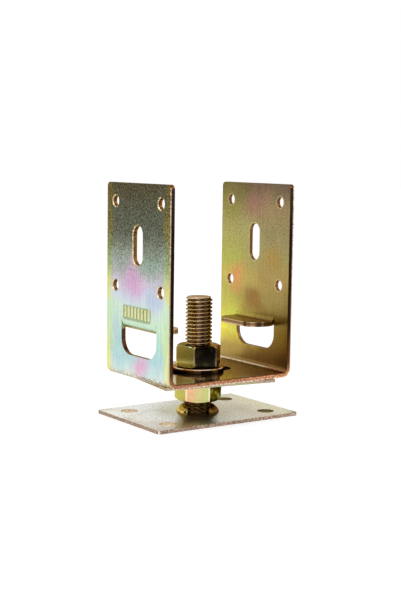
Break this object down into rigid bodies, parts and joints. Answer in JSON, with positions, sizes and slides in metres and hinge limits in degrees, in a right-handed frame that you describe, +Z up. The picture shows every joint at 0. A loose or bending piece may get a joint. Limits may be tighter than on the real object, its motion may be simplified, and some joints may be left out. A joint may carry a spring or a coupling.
{
  "type": "adjustable timber post base",
  "caption": "Folded U bracket for a square timber post, held between nuts and washers on a threaded stud that is welded to a bolt-down plate, so the post's height can be set.",
  "frame": {"origin": "centre of the base plate's underside, on the axis of the stud", "axes": "+Z up along the stud, +X across the bracket from wall to wall, +Y along the walls"},
  "size_m": [0.11, 0.0784, 0.1537],
  "materials": {
    "yellow_zinc": "bright zinc plating with yellow iridescent passivation",
    "plain_zinc": "satin zinc plating, greyer, with a faint yellow tint"
  },
  "bodies": {
    "base": {"base_plate": "plain_zinc", "threaded_stud": "yellow_zinc", "weld_left": "yellow_zinc", "weld_right": "yellow_zinc"},
    "clamp": {"lower_nut": "yellow_zinc", "washer": "yellow_zinc", "upper_nut": "yellow_zinc"},
    "seat": {"seat_plate": "yellow_zinc"},
    "bracket": {"u_bracket": "yellow_zinc"}
  },
  "joints": [
    {"name": "height_adjust", "type": "slide", "parent": "base", "child": "clamp", "axis": [0, 0, 1], "range_m": [-0.002, 0.031]},
    {"name": "bracket_swivel", "type": "hinge", "parent": "clamp", "child": "seat", "pos_m": [0, 0, 0.0247], "axis": [0, 0, 1], "continuous": true},
    {"name": "bracket_shift", "type": "slide", "parent": "seat", "child": "bracket", "axis": [1, 0, 0], "range_m": [-0.015, 0.015]}
  ]
}
